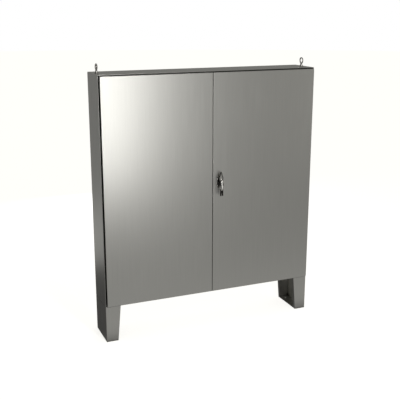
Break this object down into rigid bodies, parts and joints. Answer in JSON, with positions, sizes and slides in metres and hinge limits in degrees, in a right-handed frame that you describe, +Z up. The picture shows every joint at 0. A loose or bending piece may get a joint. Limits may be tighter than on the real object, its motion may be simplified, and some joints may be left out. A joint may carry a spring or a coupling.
{
  "type": "industrial switchboard cabinet",
  "caption": "Wide shallow floor-stand electrical cabinet with flush double doors on continuous hinges, a padlockable turn handle, lifting eyes and folded sheet stands.",
  "frame": {"origin": "centre of the four floor anchor holes, on the floor under the stands", "axes": "+X to the right seen from the doors, +Y from the doors to the back, +Z up"},
  "size_m": [1.829, 0.378, 2.207],
  "materials": {
    "brushed_stainless": "fine vertical brushed stainless steel",
    "formed_stainless": "mill-finish stainless sheet, hidden parts",
    "hinge_stainless": "darker passivated stainless hinge strip",
    "polished_stainless": "polished cast stainless handle and eyes",
    "zinc_steel": "zinc-plated steel fasteners and rods",
    "seal_rubber": "black foam-in-place seal",
    "white_panel_paint": "white enamelled mounting panel",
    "bronze": "oil-filled bronze bush",
    "roller_nylon": "natural nylon",
    "pocket_plastic": "grey moulded plastic"
  },
  "bodies": {
    "enclosure": {"left_side_panel": "brushed_stainless", "right_side_panel": "brushed_stainless", "top_panel": "brushed_stainless", "bottom_panel": "brushed_stainless", "back_panel": "brushed_stainless", "left_collar_rail": "formed_stainless", "right_collar_rail": "formed_stainless", "top_collar_rail": "formed_stainless", "bottom_collar_rail": "formed_stainless", "centre_post": "formed_stainless", "centre_post_screws": "zinc_steel", "left_floor_stand": "brushed_stainless", "right_floor_stand": "brushed_stainless", "stand_bolts": "zinc_steel", "left_lifting_eye": "polished_stainless", "right_lifting_eye": "polished_stainless", "lifting_eye_nuts": "zinc_steel", "left_hinge_body_leaf": "hinge_stainless", "right_hinge_body_leaf": "hinge_stainless", "left_hinge_pin": "hinge_stainless", "right_hinge_pin": "hinge_stainless", "mounting_panel": "white_panel_paint", "panel_studs": "zinc_steel", "panel_nuts": "zinc_steel", "ground_studs": "zinc_steel", "latch_keepers": "formed_stainless"},
    "left_door_body": {"left_door": "brushed_stainless", "left_door_gasket": "seal_rubber", "left_door_stiffener": "formed_stainless", "left_hinge_door_leaf": "hinge_stainless", "slide_bolt_guides": "formed_stainless", "document_pocket": "pocket_plastic"},
    "right_door_body": {"right_door": "brushed_stainless", "right_door_gasket": "seal_rubber", "right_door_stiffener": "formed_stainless", "right_hinge_door_leaf": "hinge_stainless", "handle_escutcheon": "polished_stainless", "handle_screws": "polished_stainless", "padlock_staple": "polished_stainless", "spindle_bushing": "bronze", "latch_bracket": "formed_stainless", "rod_guides": "formed_stainless"},
    "handle": {"door_handle": "polished_stainless", "spindle": "zinc_steel", "spindle_screw": "zinc_steel", "latch_cam": "zinc_steel", "cam_pins": "zinc_steel"},
    "upper_rod": {"upper_latch_rod": "zinc_steel"},
    "lower_rod": {"lower_latch_rod": "zinc_steel"},
    "upper_roller": {"upper_rod_roller": "roller_nylon"},
    "lower_roller": {"lower_rod_roller": "roller_nylon"},
    "upper_bolt": {"upper_slide_bolt": "zinc_steel"},
    "lower_bolt": {"lower_slide_bolt": "zinc_steel"}
  },
  "joints": [
    {"name": "left_door_swing", "type": "hinge", "parent": "enclosure", "child": "left_door_body", "pos_m": [-0.9071, -0.156, 1.216], "axis": [0, 0, -1], "range_deg": [0, 120]},
    {"name": "right_door_swing", "type": "hinge", "parent": "enclosure", "child": "right_door_body", "pos_m": [0.9071, -0.156, 1.216], "axis": [0, 0, 1], "range_deg": [0, 120]},
    {"name": "handle_turn", "type": "hinge", "parent": "right_door_body", "child": "handle", "pos_m": [0.06, -0.2, 1.235], "axis": [0, -1, 0], "range_deg": [0, 90]},
    {"name": "upper_rod_pivot", "type": "hinge", "parent": "handle", "child": "upper_rod", "pos_m": [0.04727, -0.122, 1.24773], "axis": [0, -1, 0], "range_deg": [-90, 0]},
    {"name": "lower_rod_pivot", "type": "hinge", "parent": "handle", "child": "lower_rod", "pos_m": [0.07273, -0.122, 1.22227], "axis": [0, -1, 0], "range_deg": [-90, 0]},
    {"name": "upper_roller_spin", "type": "hinge", "parent": "upper_rod", "child": "upper_roller", "pos_m": [0.05717, -0.122, 2.088], "axis": [1, 0, 0], "continuous": true},
    {"name": "lower_roller_spin", "type": "hinge", "parent": "lower_rod", "child": "lower_roller", "pos_m": [0.08263, -0.122, 0.344], "axis": [1, 0, 0], "continuous": true},
    {"name": "upper_bolt_slide", "type": "slide", "parent": "left_door_body", "child": "upper_bolt", "axis": [0, 0, 1], "range_m": [0, 0.015]},
    {"name": "lower_bolt_slide", "type": "slide", "parent": "left_door_body", "child": "lower_bolt", "axis": [0, 0, -1], "range_m": [0, 0.015]}
  ],
  "couplings": [
    {"joint": "upper_rod_pivot", "follows": "handle_turn", "ratio": -1},
    {"joint": "lower_rod_pivot", "follows": "handle_turn", "ratio": -1}
  ]
}
